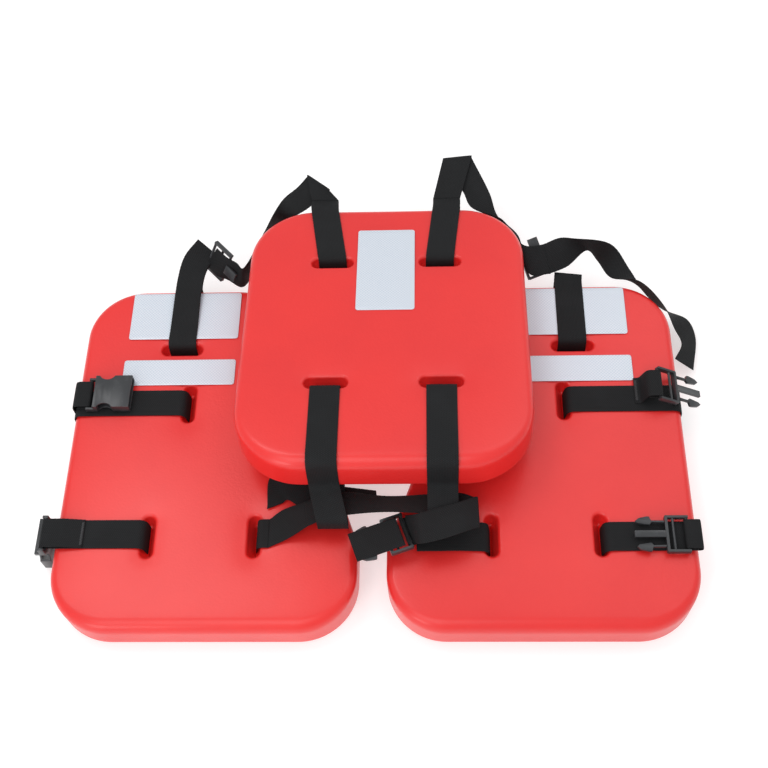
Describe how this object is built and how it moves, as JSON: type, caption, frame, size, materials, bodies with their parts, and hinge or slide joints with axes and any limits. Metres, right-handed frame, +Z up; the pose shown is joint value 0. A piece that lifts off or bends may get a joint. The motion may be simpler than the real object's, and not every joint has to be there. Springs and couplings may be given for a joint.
{
  "type": "life jacket",
  "caption": "Foam-pad life jacket laid flat: two front pads and a back pad joined by adjustable webbing straps, with side-release buckles and reflective tapes.",
  "frame": {"origin": "bottom centre of the whole, on the surface that it lies on", "axes": "+Z up, through the outer faces of the pads; +X from the left front pad to the right one as seen from the hem; +Y from the hem to the shoulders"},
  "size_m": [0.7266, 0.576, 0.1329],
  "materials": {
    "foam": "satin vinyl-dipped closed-cell foam, red",
    "tape": "retroreflective tape, silver white with a fine cell pattern",
    "webbing": "woven polypropylene webbing, black, matt",
    "plastic": "moulded acetal, dark grey, satin"
  },
  "bodies": {
    "left_front": {"left_front_pad": "foam", "left_upper_tape": "tape", "left_lower_tape": "tape", "left_chest_band": "webbing", "left_chest_tail": "webbing", "left_waist_belt": "webbing", "left_shoulder_band": "webbing", "left_adjuster": "plastic", "left_belt_bridge": "webbing", "left_shoulder_strap": "webbing"},
    "back": {"back_pad": "foam", "back_tape": "tape", "left_back_loop": "webbing", "right_back_loop": "webbing", "left_back_band": "webbing", "right_back_band": "webbing", "belt_middle": "webbing"},
    "right_front": {"right_front_pad": "foam", "right_upper_tape": "tape", "right_lower_tape": "tape", "right_chest_band": "webbing", "right_chest_tail": "webbing", "right_waist_belt": "webbing", "right_shoulder_band": "webbing", "right_adjuster": "plastic", "right_strap_tail": "webbing", "right_shoulder_strap": "webbing"},
    "chest_socket": {"chest_socket": "plastic"},
    "waist_socket": {"waist_socket": "plastic"},
    "chest_plug": {"chest_plug": "plastic"},
    "chest_latch_a": {"chest_latch_a": "plastic"},
    "chest_latch_b": {"chest_latch_b": "plastic"},
    "waist_plug": {"waist_plug": "plastic"},
    "waist_latch_a": {"waist_latch_a": "plastic"},
    "waist_latch_b": {"waist_latch_b": "plastic"},
    "belt_plug": {"belt_plug": "plastic", "belt_plug_flap": "webbing"},
    "belt_latch_a": {"belt_latch_a": "plastic"},
    "belt_latch_b": {"belt_latch_b": "plastic"}
  },
  "joints": [
    {"name": "back_pad_lift", "type": "hinge", "parent": "left_front", "child": "back", "pos_m": [0, 0.12601, 0.0503], "axis": [-1, 0, 0], "range_deg": [0, 12], "deforming": ["left_shoulder_strap", "left_belt_bridge"]},
    {"name": "right_front_hold", "type": "hinge", "parent": "back", "child": "right_front", "pos_m": [0, 0.12601, 0.0503], "axis": [-1, 0, 0], "range_deg": [-12, 0], "deforming": ["right_shoulder_strap"]},
    {"name": "chest_socket_swing", "type": "hinge", "parent": "left_front", "child": "chest_socket", "pos_m": [-0.32783, -0.01899, 0.05095], "axis": [0, -1, 0], "range_deg": [0, 90]},
    {"name": "waist_socket_swing", "type": "hinge", "parent": "left_front", "child": "waist_socket", "pos_m": [-0.35433, -0.18499, 0.04965], "axis": [0, 1, 0], "range_deg": [0, 90]},
    {"name": "chest_plug_swing", "type": "hinge", "parent": "right_front", "child": "chest_plug", "pos_m": [0.30317, -0.01899, 0.0633], "axis": [0, -1, 0], "range_deg": [0, 90]},
    {"name": "waist_plug_swing", "type": "hinge", "parent": "right_front", "child": "waist_plug", "pos_m": [0.31617, -0.18999, 0.05095], "axis": [0, 1, 0], "range_deg": [0, 90]},
    {"name": "belt_plug_swing", "type": "hinge", "parent": "back", "child": "belt_plug", "pos_m": [0.02817, -0.18999, 0.0633], "axis": [-0.3387, 0.9409, 0], "range_deg": [0, 25]},
    {"name": "chest_latch_a_flex", "type": "hinge", "parent": "chest_plug", "child": "chest_latch_a", "pos_m": [0.32382, -0.00559, 0.05346], "axis": [-0.5, 0, -0.866], "range_deg": [0, 8], "stiffness_Nm_per_rad": 0.2},
    {"name": "chest_latch_b_flex", "type": "hinge", "parent": "chest_plug", "child": "chest_latch_b", "pos_m": [0.32382, -0.03239, 0.05346], "axis": [0.5, 0, 0.866], "range_deg": [0, 8], "stiffness_Nm_per_rad": 0.2},
    {"name": "waist_latch_a_flex", "type": "hinge", "parent": "waist_plug", "child": "waist_latch_a", "pos_m": [0.29337, -0.20339, 0.05275], "axis": [0, 0, -1], "range_deg": [0, 8], "stiffness_Nm_per_rad": 0.2},
    {"name": "waist_latch_b_flex", "type": "hinge", "parent": "waist_plug", "child": "waist_latch_b", "pos_m": [0.29337, -0.17659, 0.05275], "axis": [0, 0, 1], "range_deg": [0, 8], "stiffness_Nm_per_rad": 0.2},
    {"name": "belt_latch_a_flex", "type": "hinge", "parent": "belt_plug", "child": "belt_latch_a", "pos_m": [0.01126, -0.21032, 0.0651], "axis": [0, 0, -1], "range_deg": [0, 8], "stiffness_Nm_per_rad": 0.2},
    {"name": "belt_latch_b_flex", "type": "hinge", "parent": "belt_plug", "child": "belt_latch_b", "pos_m": [0.00218, -0.18511, 0.0651], "axis": [0, 0, 1], "range_deg": [0, 8], "stiffness_Nm_per_rad": 0.2}
  ],
  "couplings": [
    {"joint": "right_front_hold", "follows": "back_pad_lift", "ratio": -1},
    {"joint": "chest_latch_b_flex", "follows": "chest_latch_a_flex", "ratio": 1},
    {"joint": "waist_latch_b_flex", "follows": "waist_latch_a_flex", "ratio": 1},
    {"joint": "belt_latch_b_flex", "follows": "belt_latch_a_flex", "ratio": 1}
  ]
}
